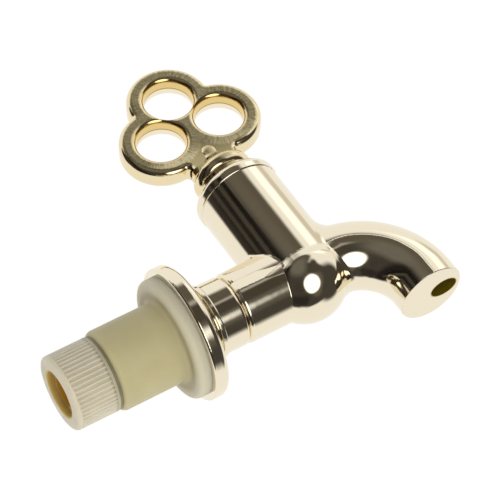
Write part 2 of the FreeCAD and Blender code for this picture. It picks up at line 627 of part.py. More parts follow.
def make_key_handle():
    """Trefoil of three rings on a web, with a boss, a neck disc and the stem's socket."""
    plate = doc.addObject("PartDesign::Body", "key_plate")
    ring_places = [("-ring_half_pitch", BONNET_TOP + " + lower_ring_rise"),
                   ("ring_half_pitch", BONNET_TOP + " + lower_ring_rise"),
                   ("0", BONNET_TOP + " + upper_ring_rise")]
    web = sketch_on(plate, "web_outline")
    web_top = BONNET_TOP + " + lower_ring_rise"
    web_low = NECK_TOP + " - neck_bead"
    outline(web, [("-web_half", web_low), ("web_half", web_low), ("web_half", web_top),
                  ("-web_half", web_top)])
    padded(plate, "web", web, "key_thick", centred=True)
    for number, (across, up) in enumerate(ring_places, 1):
        sketch = disc(sketch_on(plate, "ring_outline_%d" % number), across, up, "ring_outer")
        doc.recompute()
        padded(plate, "ring_%d" % number, sketch, "key_thick", centred=True)
    for name, size, low, high in (("crotches", "crotch_round", web_top, web_top + " + ring_outer"),
                                  ("notches", "notch_round", NECK_TOP, web_top)):
        corners = []
        for number, edge in enumerate(plate.Shape.Edges, 1):
            across_plate = kind_of(edge) == "Part::GeomLine" and abs(edge.tangentAt(0).y) > 0.99
            if across_plate and measure(low) < edge.CenterOfMass.z < measure(high):
                corners.append("Edge%d" % number)
        dressed(plate, name, "PartDesign::Fillet", "Radius", size, corners)
    rim = []
    for number, edge in enumerate(plate.Shape.Edges, 1):
        on_face = abs(abs(edge.CenterOfMass.y) - measure("key_thick") / 2) < TOUCH
        if on_face and edge.CenterOfMass.z > measure(NECK_TOP):
            rim.append("Edge%d" % number)
    dressed(plate, "rim_rounds", "PartDesign::Fillet", "Radius", "rim_round", rim)
    face, wall = "(key_thick / 2)", "(ring_hole + hole_draft)"
    flare = "(ring_hole + hole_draft + hole_round)"
    for number, (across, up) in enumerate(ring_places, 1):
        sketch = sketch_on(plate, "hole_outline_%d" % number, "XY_Plane", across, up)
        outline(sketch, [("0", "-" + face + " - overcut"), (flare, "-" + face + " - overcut"),
                         (flare, "-" + face, flare, "hole_round - " + face),
                         (wall, "hole_round - " + face), ("ring_hole", "0"),
                         (wall, face + " - hole_round", flare, face + " - hole_round"),
                         (flare, face), (flare, face + " + overcut"), ("0", face + " + overcut")])
        grooved(plate, "hole_%d" % number, sketch, "V_Axis")

    neck = doc.addObject("PartDesign::Body", "key_neck")
    cone_top = "(" + NECK_TOP + " + boss_cone)"
    boss_top = "(" + NECK_TOP + " + boss_rise)"
    bead_middle, bead_centre = NECK_TOP + " - neck_bead", "(neck_radius - neck_bead)"
    waist = "(" + bead_centre + " + sqrt(neck_bead ^ 2 - neck_waist_drop ^ 2))"
    waist_up = "(" + bead_middle + " - neck_waist_drop)"
    line = sketch_on(neck, "neck_outline")
    outline(line, [("0", KEY_FOOT), ("neck_ring_radius", KEY_FOOT),
                   ("neck_ring_radius", waist_up + " - neck_ring_slope"),
                   (waist, waist_up, bead_centre, bead_middle), (bead_centre, NECK_TOP),
                   ("cone_foot", NECK_TOP + " + neck_crown"), ("boss_radius", cone_top),
                   ("boss_radius", boss_top), ("0", boss_top)])
    turned(neck, "neck_turned", line, "V_Axis")
    rounded(neck, "neck_foot_edge", "neck_foot_round", 2, KEY_FOOT, "neck_ring_radius")
    rounded(neck, "boss_foot", "boss_foot_round", 2, cone_top, "boss_radius")
    rounded(neck, "boss_top_round", "boss_dome", 2, boss_top, "boss_radius")

    whole = doc.addObject("Part::Fuse", "key_solid")
    whole.Base = plate
    whole.Tool = neck
    socket = doc.addObject("Part::Box", "key_socket")
    side = "square_side + 2 * square_gap"
    socket.setExpression("Length", bound(side))
    socket.setExpression("Width", bound(side))
    socket.setExpression("Height", bound("square_length + overcut"))
    socket.setExpression("Placement.Base.x", bound("-(" + side + ") / 2"))
    socket.setExpression("Placement.Base.y", bound("-(" + side + ") / 2"))
    socket.setExpression("Placement.Base.z", bound(KEY_FOOT + " - overcut"))
    key = doc.addObject("Part::Cut", "key_handle")
    key.Label = "key_handle"
    key.Base = whole
    key.Tool = socket
    doc.recompute()
    return node(on_valve_axis(key))


make_tap_body()
make_flange_collar()
make_jar_seal()
make_slip_washer()
make_clamp_nut()
make_valve_plug()
make_ring("plug_oring", DRUM_RADIUS, "drum_cord", "drum_top - drum_ring_drop")
make_port_seal("port_seal_inlet", -1)
make_port_seal("port_seal_outlet", 1)
make_thrust_washer()
make_stem_bush()
make_ring("bush_oring", "(chamber_radius - fixed_gap)", "drum_cord", BUSH_RING)
make_ring("stem_oring_lower", "stem_radius", "stem_cord", STEM_RINGS[0])
make_ring("stem_oring_upper", "stem_radius", "stem_cord", STEM_RINGS[1])
make_bonnet_cap()
make_key_handle()
doc.recompute()

for item in doc.Objects:
    if "Invalid" in item.State or "Error" in item.State:
        raise RuntimeError("%s failed: %s" % (item.Name, item.State))
for piece in NODES:
    if piece.Shape.isNull() or not piece.Shape.isValid() or not piece.Shape.Solids:
        raise RuntimeError("%s has no valid solid" % piece.Label)

os.makedirs("parts", exist_ok=True)
for piece in NODES:
    piece.Shape.exportStep("parts/%s.step" % piece.Label)
    box = piece.Shape.BoundBox
    print("%-18s %9.1f mm3  x %.2f %.2f  y %.2f %.2f  z %.2f %.2f" % (
        piece.Label, piece.Shape.Volume, box.XMin, box.XMax, box.YMin, box.YMax, box.ZMin, box.ZMax))
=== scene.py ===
# %% [markdown]
# # A gold-plated plastic jar tap
# This is the small tap that is pushed through the wall of a drinks jar. Its body, flange collar,
# bonnet cap and trefoil key are plastic mouldings under a thin, mirror-bright, gold-toned plating.
# A silicone sleeve seals the hole, and a ribbed nylon nut clamps it from the inside.
# The shapes come from the solid model as a fixed frame. This lesson gives them their finishes,
# the white table they lie on, and the light of a small photo studio.

# %% Load the solid model
import math

import bpy
from mathutils import Matrix, Vector


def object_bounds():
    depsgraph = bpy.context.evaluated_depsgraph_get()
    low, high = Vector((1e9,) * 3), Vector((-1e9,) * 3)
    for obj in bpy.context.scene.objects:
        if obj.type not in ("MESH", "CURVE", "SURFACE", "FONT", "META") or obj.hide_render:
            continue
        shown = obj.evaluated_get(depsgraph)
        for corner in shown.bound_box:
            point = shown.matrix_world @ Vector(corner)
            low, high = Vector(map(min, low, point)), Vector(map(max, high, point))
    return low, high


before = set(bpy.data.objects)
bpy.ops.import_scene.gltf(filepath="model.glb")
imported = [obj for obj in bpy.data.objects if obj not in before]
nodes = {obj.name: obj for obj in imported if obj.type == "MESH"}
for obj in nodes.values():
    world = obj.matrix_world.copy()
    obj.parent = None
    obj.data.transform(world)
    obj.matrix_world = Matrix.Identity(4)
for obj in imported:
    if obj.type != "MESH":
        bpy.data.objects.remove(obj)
model_box = [list(corner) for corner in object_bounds()]
print("pieces:", len(nodes))
print("size in mm:", [round(1000 * (b - a), 1) for a, b in zip(*model_box)])

# %% [markdown]
# ## Tools for the finishes
# Colours are written as hex values, the way a paint chart gives them, and turned to linear light
# in one place. Every finish is a small network of shader nodes. Written out, each node takes four
# or five lines, so one function adds a node of any kind. It fills the inputs that the node shows,
# from the top, each with a number, a colour or the node that feeds it. A name in small letters is
# a setting and one with a capital is an input, as Blender writes them, and a kind all in capitals
# is an operation of the Math node.

# %% Colours and nodes
def linear(hex_colour):
    channels = [int(hex_colour[i:i + 2], 16) / 255 for i in (1, 3, 5)]
    return tuple(c / 12.92 if c <= 0.04045 else ((c + 0.055) / 1.055) ** 2.4
                 for c in channels) + (1.0,)


def feed(tree, socket, value):
    if isinstance(value, bpy.types.Node):
        value = next(output for output in value.outputs if output.enabled)
    if isinstance(value, bpy.types.NodeSocket):
        tree.links.new(value, socket)
    else:
        socket.default_value = value


def add_node(tree, kind, *values, **named):
    if kind.isupper():
        kind, named = "Math", {"operation": kind}
    node = tree.nodes.new("ShaderNode" + kind)
    for name, value in named.items():
        if name.islower():
            setattr(node, name, value)
        else:
            feed(tree, node.inputs[name], value)
    shown = [socket for socket in node.inputs if socket.enabled]
    for socket, value in zip(shown, values):
        feed(tree, socket, value)
    return node


print("mid grey in linear light:", round(linear("#808080")[0], 3))

# %% [markdown]
# ## Gold-toned plating
# The mouldings are ABS, etched and electroplated with copper and bright nickel, then a flash of
# pale gold. The result is a true mirror: its colour only tints what it reflects, and most of its
# look is the room. The metal also keeps a faint ripple of the plastic under it, called orange
# peel, and its shine varies a little from place to place.
# A perfect mirror would look drawn and not made, so the shader is fully metallic with a pale
# gold tint and a low roughness that a broad cloud varies, and a bump draws the ripple: waves
# 2.5 mm long and 8 micrometres high. The grit in the plating is finer than the picture can show,
# so its spots are drawn 0.35 mm wide.
# All patterns are drawn in millimetres, because that is how the real surfaces are measured, and
# by place and not by an unwrapped image, so they run on over every edge without a seam.

# %% Plating
PALE_GOLD = "#f2e8d0"
PLATING_ROUGHNESS, CLEAR_TO_HAZY = 0.07, (0.035, 0.085)
HAZE_MM, HAZE_DETAIL = 7.0, 4.0
GRIT_MM, GRIT_ROUGHNESS = 0.35, 0.03
RIPPLE_MM, RIPPLE_DETAIL, RIPPLE_HEIGHT = 2.5, 1.0, 0.000008
CLOUD_SPAN = (0.3, 0.7)  # nearly all of a noise lies between these


def new_finish(name, base, roughness, **shader_values):
    material = bpy.data.materials.new(name)
    material.use_nodes = True
    shader = material.node_tree.nodes["Principled BSDF"]
    shader.inputs["Base Color"].default_value = linear(base)
    shader.inputs["Roughness"].default_value = roughness
    for socket, value in shader_values.items():
        shader.inputs[socket].default_value = value
    return material, material.node_tree, shader


def in_millimetres(tree):
    place = add_node(tree, "TexCoord").outputs["Object"]
    return add_node(tree, "VectorMath", place, 1000.0, operation="SCALE")


def plated_abs(name, true_normal=None):
    material, tree, shader = new_finish(name, PALE_GOLD, PLATING_ROUGHNESS, Metallic=1.0)
    place = in_millimetres(tree)
    haze = add_node(tree, "MapRange", add_node(tree, "TexNoise", place, 1 / HAZE_MM, HAZE_DETAIL),
                    *CLOUD_SPAN, *CLEAR_TO_HAZY)
    grit = add_node(tree, "TexNoise", place, 1 / GRIT_MM)
    shine = add_node(tree, "MULTIPLY_ADD", grit, GRIT_ROUGHNESS, haze)
    feed(tree, shader.inputs["Roughness"], shine)
    waves = add_node(tree, "TexNoise", place, 1 / RIPPLE_MM, RIPPLE_DETAIL)
    ripple = add_node(tree, "Bump", Height=waves, Distance=RIPPLE_HEIGHT)
    if true_normal:
        feed(tree, ripple.inputs["Normal"], true_normal(tree, place))
    feed(tree, shader.inputs["Normal"], ripple)
    return material, tree, shader, place, shine, ripple


plating = plated_abs("gold_tone_plated_abs")[0]
print("plating nodes:", len(plating.node_tree.nodes))

# %% [markdown]
# ## Where the mould parted
# The body was moulded in two halves that met on the plane through the shank, the bulb and the
# spout. A thin strip laid on the skin could show the line where they met, but it is finer than
# the mesh, so it is painted where a distance is zero: the height above the shank's axis, bent
# round with the spout. Such a line is never quite straight, so a slow noise lets it wander by up
# to half a millimetre.

# %% Distance from the parting line
SPOUT_START_MM, SPOUT_CENTRE_MM = 40.0, -14.2
WANDER_MM, WANDER_LENGTH_MM = 0.5, 9.0


def length_of(tree, first, second):
    squares = [add_node(tree, "MULTIPLY", value, value) for value in (first, second)]
    return add_node(tree, "SQRT", add_node(tree, "ADD", *squares))


def round_spout(tree, axes):
    along = add_node(tree, "MAXIMUM", add_node(tree, "SUBTRACT", axes["X"], SPOUT_START_MM), 0.0)
    above = add_node(tree, "MAXIMUM", add_node(tree, "SUBTRACT", axes["Z"], SPOUT_CENTRE_MM), 0.0)
    return along, above, length_of(tree, along, above)


def from_parting_line(tree, place):
    axes = add_node(tree, "SeparateXYZ", place).outputs
    noise = add_node(tree, "TexNoise", place, 1 / WANDER_LENGTH_MM)
    wander = add_node(tree, "MapRange", noise, 0.0, 1.0, -WANDER_MM, WANDER_MM)
    bent = add_node(tree, "ADD", round_spout(tree, axes)[2], SPOUT_CENTRE_MM)
    return axes, add_node(tree, "ADD", bent, wander)


print("the spout bends round X, Z in mm:", SPOUT_START_MM, SPOUT_CENTRE_MM)

# %% [markdown]
# ## The ridge and the ledge
# The halves never fit exactly, so the parting line is a fine ridge with a low rounded ledge
# beside it, and plating makes such a ledge plain, because it catches the bright sky of the studio.
# The real ridge is 0.05 mm wide, too fine for the picture, so it is drawn 0.3 mm wide, with worn
# specks. On the bulb the skin below it tilts upward, most in the upper half of a band 2.6 mm high.
# On the tube the ridge lies 1.2 mm lower, and the band above it tilts. On the spout the halves
# fit, so there the ledge ends.
# The ridge is a bump. The ledge tilts the direction that the skin faces, because a bump as broad
# as this would show the small flat faces of the mesh.

# %% Ridge and ledge
RIDGE_HALF_MM, RIDGE_HIGH_MM, WORN_SHARE = 0.16, 0.04, 0.3
SPECK_MM, SPECK_DETAIL, SPECK_SPAN = 0.5, 3.0, (0.35, 0.65)
TUBE_TO_BULB_MM = (23.5, 28.0)
TUBE_RIDGE_MM, TUBE_BAND_TOP_MM, TUBE_BAND_SOFT_MM, TUBE_SLOPE = 1.2, 1.0, 0.2, 0.32
LEDGE_MM, LEDGE_HIGH_MM = 2.6, 0.4
LEDGE_SLOPE = LEDGE_HIGH_MM / (0.75 * LEDGE_MM)  # the slope only grows over the band's lower half
LEDGE_END_MM = (SPOUT_START_MM - 1.0, SPOUT_START_MM + 2.0)


def from_tube_to_bulb(tree, axes, on_tube, on_bulb):
    return add_node(tree, "MapRange", axes["X"], *TUBE_TO_BULB_MM, on_tube, on_bulb)


def ridge_height(tree, place, axes, apart):
    apart = add_node(tree, "ADD", apart, from_tube_to_bulb(tree, axes, TUBE_RIDGE_MM, 0.0))
    noise = add_node(tree, "TexNoise", place, 1 / SPECK_MM, SPECK_DETAIL)
    specks = add_node(tree, "MapRange", noise, *SPECK_SPAN, WORN_SHARE * RIDGE_HIGH_MM, RIDGE_HIGH_MM)
    away = add_node(tree, "ABSOLUTE", apart)
    return add_node(tree, "MULTIPLY", add_node(tree, "MapRange", away, 0.0, RIDGE_HALF_MM, 1.0, 0.0), specks)


def tilted_at_ledge(tree, place, facing):
    axes, apart = from_parting_line(tree, place)
    below = add_node(tree, "LESS_THAN", apart, from_tube_to_bulb(tree, axes, TUBE_BAND_TOP_MM, 0.0))
    foot = from_tube_to_bulb(tree, axes, -TUBE_RIDGE_MM, -LEDGE_MM)
    steep = from_tube_to_bulb(tree, axes, TUBE_BAND_SOFT_MM - TUBE_RIDGE_MM, -LEDGE_MM / 2)
    most = from_tube_to_bulb(tree, axes, TUBE_SLOPE, LEDGE_SLOPE)
    slope = add_node(tree, "MapRange", apart, foot, steep, 0.0, most)
    not_spout = add_node(tree, "MapRange", axes["X"], *LEDGE_END_MM, 1.0, 0.0)
    tilt = add_node(tree, "MULTIPLY", add_node(tree, "MULTIPLY", below, slope), not_spout)
    return add_node(tree, "VectorMath", facing, add_node(tree, "CombineXYZ", Z=tilt), operation="ADD")


print("tilt of the ledge and of the tube's band in degrees:",
      [round(math.degrees(math.atan(slope))) for slope in (LEDGE_SLOPE, TUBE_SLOPE)])

# %% [markdown]
# ## A true round bulb and spout
# The model's skin is made of small flat faces, and a mirror shows where they meet as steps along
# its reflections. The bulb is a ball and the spout a bent round bar, so the direction that each
# point of them faces can be worked out exactly: from the middle of the ball, or from the middle
# line of the bar. It is used wherever the skin lies on one of the two.

# %% Exact facing of the round forms
BULB_CENTRE_MM, BULB_RADIUS_MM = (33.7, 0.0, -1.1), 9.15
SPOUT_RADIUS_MM = 7.2
SKIN_MM = 0.12


def facing_from(tree, offset, radius, facing, inside):
    length = add_node(tree, "VectorMath", offset, operation="LENGTH")
    exact = add_node(tree, "VectorMath", offset, operation="NORMALIZE")
    off_skin = add_node(tree, "ABSOLUTE", add_node(tree, "SUBTRACT", length, radius))
    near_skin = add_node(tree, "MapRange", off_skin, SKIN_MM, 1.5 * SKIN_MM, 1.0, 0.0)
    in_world = add_node(tree, "VectorTransform", exact, vector_type="NORMAL",
                        convert_from="OBJECT", convert_to="WORLD")
    return add_node(tree, "Mix", add_node(tree, "MULTIPLY", near_skin, inside), facing, in_world,
                    data_type="VECTOR")


def round_forms(tree, place):
    axes = add_node(tree, "SeparateXYZ", place).outputs
    facing = add_node(tree, "NewGeometry").outputs["Normal"]
    from_ball = add_node(tree, "VectorMath", place, BULB_CENTRE_MM, operation="SUBTRACT")
    facing = facing_from(tree, from_ball, BULB_RADIUS_MM, facing,
                         add_node(tree, "LESS_THAN", axes["Z"], BULB_CENTRE_MM[2]))
    along, above, reach = round_spout(tree, axes)
    outside = add_node(tree, "SUBTRACT", 1.0, add_node(tree, "DIVIDE", -SPOUT_CENTRE_MM, reach))
    from_bar = add_node(tree, "CombineXYZ", add_node(tree, "MULTIPLY", along, outside), axes["Y"],
                        add_node(tree, "MULTIPLY", above, outside))
    facing = facing_from(tree, from_bar, SPOUT_RADIUS_MM, facing,
                         add_node(tree, "GREATER_THAN", axes["X"], BULB_CENTRE_MM[0]))
    return add_node(tree, "VectorMath", tilted_at_ledge(tree, place, facing), operation="NORMALIZE")


print("bulb and spout in mm across:", 2 * BULB_RADIUS_MM, 2 * SPOUT_RADIUS_MM)

# %% [markdown]
# ## The body's plating and thread
# The body has the plating, the exact facing, the ridge and a thread. The shank carries an M10
# thread, which turns 1.5 mm along for each turn. It could be cut as a helix, but the solid model
# has a plain shank, and the sleeve and the nut hide nearly all of it, so a bump draws the thread,
# on the shank's skin only. Each bump builds on the one before it, so none is lost.

# %% Body plating
ONE_MM = 0.001
THREAD_PITCH_MM, THREAD_HEIGHT = 1.5, 0.0006
THREAD_END_MM = (2.0, 2.5)
SHANK_INSIDE_MM, SHANK_OUTSIDE_MM = (4.6, 4.8), (5.2, 5.4)


def thread_height(tree, axes, round_shank):
    turned = add_node(tree, "MULTIPLY", add_node(tree, "ARCTAN2", axes["Z"], axes["Y"]),
                      THREAD_PITCH_MM / (2 * math.pi))
    crest = add_node(tree, "PINGPONG", add_node(tree, "ADD", axes["X"], turned), THREAD_PITCH_MM / 2)
    before_end = add_node(tree, "MapRange", axes["X"], *THREAD_END_MM, 1.0, 0.0)
    skin = add_node(tree, "MULTIPLY", add_node(tree, "MapRange", round_shank, *SHANK_OUTSIDE_MM, 1.0, 0.0),
                    add_node(tree, "MapRange", round_shank, *SHANK_INSIDE_MM))
    return add_node(tree, "MULTIPLY", crest, add_node(tree, "MULTIPLY", before_end, skin))


def plated_body(name):
    material, tree, shader, place, shine, ripple = plated_abs(name, round_forms)
    axes, apart = from_parting_line(tree, place)
    ridge = add_node(tree, "Bump", Height=ridge_height(tree, place, axes, apart), Distance=ONE_MM,
                     Normal=ripple)
    round_shank = length_of(tree, axes["Y"], axes["Z"])
    thread = add_node(tree, "Bump", Height=thread_height(tree, axes, round_shank),
                      Distance=THREAD_HEIGHT, Normal=ridge)
    feed(tree, shader.inputs["Normal"], thread)
    return material, tree, shader, axes, shine, round_shank


body_plating, *body_nodes = plated_body("gold_tone_plated_abs_body")
print("body plating nodes:", len(body_plating.node_tree.nodes))

# %% [markdown]
# ## Dull waterways
# Inside the shank and the outlet the current hardly reaches, so the plating there is thin, dull
# and more yellow. The outlet is also painted a darker olive than the bore, as painted shade in
# the hole. A second material on the inner faces would end in a hard edge, and real plating thins
# out over a millimetre. So both places are found by their distance from the middle of the hole:
# the bore's from the shank's axis, and the oval outlet's from the middle line of its bend.

# %% Thin plating in the holes
BORE_WALL_MM, BORE_END_MM = (3.55, 3.75), (17.0, 18.0)
PASSAGE_MM = 17.2
OUTLET_HALF_HIGH_MM, OUTLET_HALF_WIDE_MM = 3.0, 2.3
OUTLET_RIM, OUTLET_START_MM = (1.02, 1.12), (44.0, 46.0)
THIN_ROUGHER, THIN_METALLIC = 0.22, 0.55
# the outlet's colour is its thin yellow plating with painted shade, darker olive than the bore
BORE_YELLOW, OUTLET_YELLOW_AND_SHADE = "#e3b84c", "#86731c"


def dull_holes(tree, shader, axes, shine, round_shank):
    bore = add_node(tree, "MULTIPLY", add_node(tree, "MapRange", round_shank, *BORE_WALL_MM, 1.0, 0.0),
                    add_node(tree, "MapRange", axes["X"], *BORE_END_MM, 1.0, 0.0))
    from_bend = length_of(tree, add_node(tree, "SUBTRACT", axes["X"], SPOUT_START_MM),
                          add_node(tree, "ADD", axes["Z"], PASSAGE_MM))
    high = add_node(tree, "SUBTRACT", from_bend, PASSAGE_MM)
    oval = length_of(tree, add_node(tree, "DIVIDE", high, OUTLET_HALF_HIGH_MM),
                     add_node(tree, "DIVIDE", axes["Y"], OUTLET_HALF_WIDE_MM))
    outlet = add_node(tree, "MULTIPLY", add_node(tree, "MapRange", oval, *OUTLET_RIM, 1.0, 0.0),
                      add_node(tree, "MapRange", axes["X"], *OUTLET_START_MM))
    hole = add_node(tree, "MAXIMUM", bore, outlet)
    # the outlet's darker olive is painted shade in the hole
    yellowed_and_shaded = add_node(tree, "Mix", outlet, linear(BORE_YELLOW), linear(OUTLET_YELLOW_AND_SHADE), data_type="RGBA")
    colour = add_node(tree, "Mix", hole, linear(PALE_GOLD), yellowed_and_shaded, data_type="RGBA")
    feed(tree, shader.inputs["Base Color"], colour)
    feed(tree, shader.inputs["Roughness"], add_node(tree, "MULTIPLY_ADD", hole, THIN_ROUGHER, shine))
    feed(tree, shader.inputs["Metallic"], add_node(tree, "MapRange", hole, 0.0, 1.0, 1.0, THIN_METALLIC))


dull_holes(*body_nodes)
print("body plating nodes with its holes:", len(body_plating.node_tree.nodes))

# %% [markdown]
# ## Dressing marks on the key
# The key has the same plating, but its flat faces show fine short marks across each ring, left in
# the mould when its flat was dressed. Seen on a ring, they all point at the ring's centre, which
# a plain stretched noise can't do, because it runs one way all over.
# In polar form it is easy: the angle round the ring, turned into a length along it, drives a
# noise that hardly changes with the distance from the centre. The marks are 0.3 mm wide, and each
# ring has its own.

# %% Marks round each ring
RING_CENTRES_MM = ((26.55, 44.15), (40.85, 44.15), (33.7, 53.35))
RING_MIDDLE_MM, RING_RIM_MM = 7.1, (8.2, 9.4)
MARK_MM, CHANGE_OUTWARD, NEXT_RING_MM = 0.3, 0.2, 10.0
FAR_MM = 100.0


def marks_round(tree, axes, centre, number):
    across = add_node(tree, "SUBTRACT", axes["X"], centre[0])
    upward = add_node(tree, "SUBTRACT", axes["Z"], centre[1])
    away = length_of(tree, across, upward)
    arc = add_node(tree, "MULTIPLY", add_node(tree, "ARCTAN2", upward, across), RING_MIDDLE_MM)
    spot = add_node(tree, "CombineXYZ", arc, add_node(tree, "MULTIPLY", away, CHANGE_OUTWARD),
                    NEXT_RING_MM * number)
    on_ring = add_node(tree, "MapRange", away, *RING_RIM_MM, 1.0, 0.0)
    return add_node(tree, "MULTIPLY", add_node(tree, "TexNoise", spot, 1 / MARK_MM), on_ring), away


def dressing_marks(tree, axes):
    marks, nearest = 0.0, FAR_MM
    for number, centre in enumerate(RING_CENTRES_MM):
        mark, away = marks_round(tree, axes, centre, number)
        marks = add_node(tree, "MAXIMUM", marks, mark)
        nearest = add_node(tree, "MINIMUM", nearest, away)
    return marks, nearest


print("marks along each ring:", round(2 * math.pi * RING_MIDDLE_MM / MARK_MM))

# %% [markdown]
# ## The key's plating
# Only faces that look along Y carry the marks, and they are a little rougher and browner than the
# rest. Near the neck the flat sweeps out, more so on its left. Seen from the front that doesn't
# change the outline, only what the flat mirrors, so a bump draws it.
# Each hole's wall is drafted both ways from the key's own parting line, and the half that the
# marks face mirrors the other one, so it is painted more yellow, as a painted reflection, with a
# fine dark line between them.

# %% Key plating
KEY_GOLD, MARK_BROWN, MARK_PALE = "#efdfb8", "#ada077", "#e2d5ad"
MARK_HEIGHT = 0.000008
FLAT_FACING, FLAT_ROUGHER = (0.9, 0.99), 0.2
SWEEP_HEIGHT, SWEEP_X_MM, SWEEP_Z_MM, SWEEP_LEFT = 0.0005, (35.0, 29.0), (40.0, 34.0), 2.2
HOLE_EDGE_MM = (5.7, 6.2)
# the yellow of the wall's near half is a painted reflection of the other half
PAINTED_REFLECTION_WALL, BACK_WALL, WALL_CHANGE_MM = "#e8cb88", "#f6ead0", (-0.1, 0.5)
WALL_LINE, WALL_LINE_MM, WALL_LINE_SHARE = "#8a7850", (0.08, 0.2), 0.8


def hole_wall_painted_reflection(tree, axes):
    half = add_node(tree, "MapRange", axes["Y"], *WALL_CHANGE_MM)
    # painted reflection: the near half of the wall is painted more yellow
    wall = add_node(tree, "Mix", half, linear(PAINTED_REFLECTION_WALL), linear(BACK_WALL), data_type="RGBA")
    away = add_node(tree, "ABSOLUTE", axes["Y"])
    parted = add_node(tree, "MapRange", away, *WALL_LINE_MM, WALL_LINE_SHARE, 0.0)
    return add_node(tree, "Mix", parted, wall, linear(WALL_LINE), data_type="RGBA")


def plated_key(name):
    material, tree, shader, place, shine, ripple = plated_abs(name)
    axes = add_node(tree, "SeparateXYZ", place).outputs
    marks, nearest = dressing_marks(tree, axes)
    facing = add_node(tree, "SeparateXYZ", add_node(tree, "NewGeometry").outputs["True Normal"]).outputs
    flat = add_node(tree, "MapRange", add_node(tree, "ABSOLUTE", facing["Y"]), *FLAT_FACING)
    to_left = add_node(tree, "MapRange", axes["X"], *SWEEP_X_MM, 1.0, SWEEP_LEFT)
    downward = add_node(tree, "POWER", add_node(tree, "MapRange", axes["Z"], *SWEEP_Z_MM), 2.0)
    sweep = add_node(tree, "Bump", Height=add_node(tree, "MULTIPLY", to_left, downward),
                     Distance=SWEEP_HEIGHT, Normal=ripple)
    brushed = add_node(tree, "Bump", Height=add_node(tree, "MULTIPLY", marks, flat),
                       Distance=MARK_HEIGHT, Normal=sweep)
    feed(tree, shader.inputs["Normal"], brushed)
    feed(tree, shader.inputs["Roughness"], add_node(tree, "MULTIPLY_ADD", flat, FLAT_ROUGHER, shine))
    dressed = add_node(tree, "Mix", add_node(tree, "MapRange", marks, *CLOUD_SPAN), linear(MARK_BROWN),
                       linear(MARK_PALE), data_type="RGBA")
    skin = add_node(tree, "Mix", flat, linear(KEY_GOLD), dressed, data_type="RGBA")
    in_hole = add_node(tree, "MapRange", nearest, *HOLE_EDGE_MM, 1.0, 0.0)
    colour = add_node(tree, "Mix", in_hole, skin, hole_wall_painted_reflection(tree, axes), data_type="RGBA")
    feed(tree, shader.inputs["Base Color"], colour)
    return material


key_plating = plated_key("gold_tone_plated_abs_brushed")
print("key plating nodes:", len(key_plating.node_tree.nodes))

# %% [markdown]
# ## Silicone, nylon and the other plastics
# The seal is uncoloured silicone rubber and the nut uncoloured nylon. Both let light in a
# millimetre or two and scatter it, red light furthest, which softens the shadows and gives a waxy
# look. The washer is stamped from nylon sheet, and its dark colour is painted shade, the shade in
# the narrow gap between the nut and the sleeve. The core and bush are ivory acetal, hard and a
# little shinier, and the O-rings are matt black nitrile.
# No plastic is ever mixed quite evenly, so a slow mottle varies the colour and the shine, and the
# skin of the mould leaves a fine grain. The real grain is finer than the picture can show, so it
# is drawn 0.2 to 0.4 mm wide. One function serves them all.

# %% Moulded soft and hard plastics
SCATTER_SHARE, SCATTER_BY_COLOUR = 0.75, (1.0, 0.95, 0.75)
MOTTLE_DETAIL, SHINIER, DULLER = 3.0, 0.05, 0.07


def moulded(name, light, deep, roughness, ior, scatter_mm, mottle_mm, grain_mm, grain_height):
    material, tree, shader = new_finish(name, light, roughness, IOR=ior)
    if scatter_mm:
        shader.inputs["Subsurface Weight"].default_value = SCATTER_SHARE
        shader.inputs["Subsurface Radius"].default_value = SCATTER_BY_COLOUR
        shader.inputs["Subsurface Scale"].default_value = scatter_mm / 1000
    place = in_millimetres(tree)
    mottle = add_node(tree, "MapRange", add_node(tree, "TexNoise", place, 1 / mottle_mm, MOTTLE_DETAIL),
                      *CLOUD_SPAN)
    feed(tree, shader.inputs["Base Color"],
         add_node(tree, "Mix", mottle, linear(light), linear(deep), data_type="RGBA"))
    shine = add_node(tree, "MapRange", add_node(tree, "TexNoise", place, 1 / (mottle_mm / 3)),
                     *CLOUD_SPAN, roughness - SHINIER, roughness + DULLER)
    feed(tree, shader.inputs["Roughness"], shine)
    grain = add_node(tree, "Bump", Height=add_node(tree, "TexNoise", place, 1 / grain_mm),
                     Distance=grain_height)
    feed(tree, shader.inputs["Normal"], grain)
    return material


silicone = moulded("moulded_silicone_rubber", "#c0b68c", "#bab085", roughness=0.42, ior=1.43,
                   scatter_mm=2.5, mottle_mm=6.0, grain_mm=0.4, grain_height=0.000008)
nut_nylon = moulded("moulded_natural_nylon", "#d3cab4", "#cac1a9", roughness=0.45, ior=1.53,
                    scatter_mm=3.0, mottle_mm=4.0, grain_mm=0.25, grain_height=0.000012)
# the washer's dark colour is painted shade, the shade in the gap between the nut and the sleeve
washer_nylon_painted_shade = moulded("stamped_nylon_washer_painted_shade", "#857a58", "#7a7050", roughness=0.5, ior=1.53,
                       scatter_mm=1.0, mottle_mm=3.0, grain_mm=0.3, grain_height=0.000008)
acetal = moulded("moulded_ivory_acetal", "#ece6d2", "#e2dbc2", roughness=0.35, ior=1.48,
                 scatter_mm=1.0, mottle_mm=5.0, grain_mm=0.3, grain_height=0.000006)
nitrile = moulded("moulded_nitrile_rubber", "#1d1d1c", "#262524", roughness=0.6, ior=1.52,
                  scatter_mm=0.0, mottle_mm=2.0, grain_mm=0.2, grain_height=0.00001)
print("plastics:", [m.name for m in (silicone, nut_nylon, washer_nylon_painted_shade, acetal, nitrile)])

